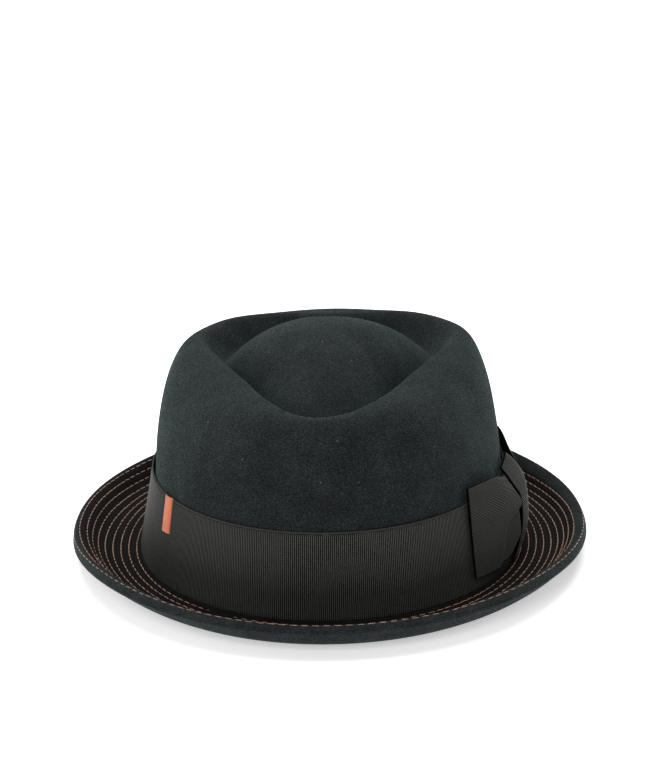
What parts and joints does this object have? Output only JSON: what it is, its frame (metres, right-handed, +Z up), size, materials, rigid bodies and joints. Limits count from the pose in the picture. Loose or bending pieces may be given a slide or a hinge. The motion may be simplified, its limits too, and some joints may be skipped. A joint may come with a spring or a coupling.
{
  "type": "porkpie hat",
  "caption": "Felt porkpie hat with a teardrop crown, a low dome inside its rim, a rolled stitched brim, a ribbed ribbon and a flat side bow.",
  "frame": {"origin": "on the surface that the hat rests on, under the middle of the brim's outline", "axes": "+Z up, the hat's front towards -Y, the bow on +X, which is the wearer's left"},
  "size_m": [0.2326, 0.2644, 0.1038],
  "materials": {
    "felt": "black wool felt with a soft short nap",
    "ribbon": "black grosgrain with fine upright ribs and a faint sheen",
    "thread": "copper brown sewing thread"
  },
  "bodies": {
    "root": {"felt_body": "felt", "ribbon_band": "ribbon", "bow_front_wing": "ribbon", "bow_knot": "ribbon", "bow_back_wing": "ribbon", "thread_tack": "thread"}
  },
  "joints": []
}
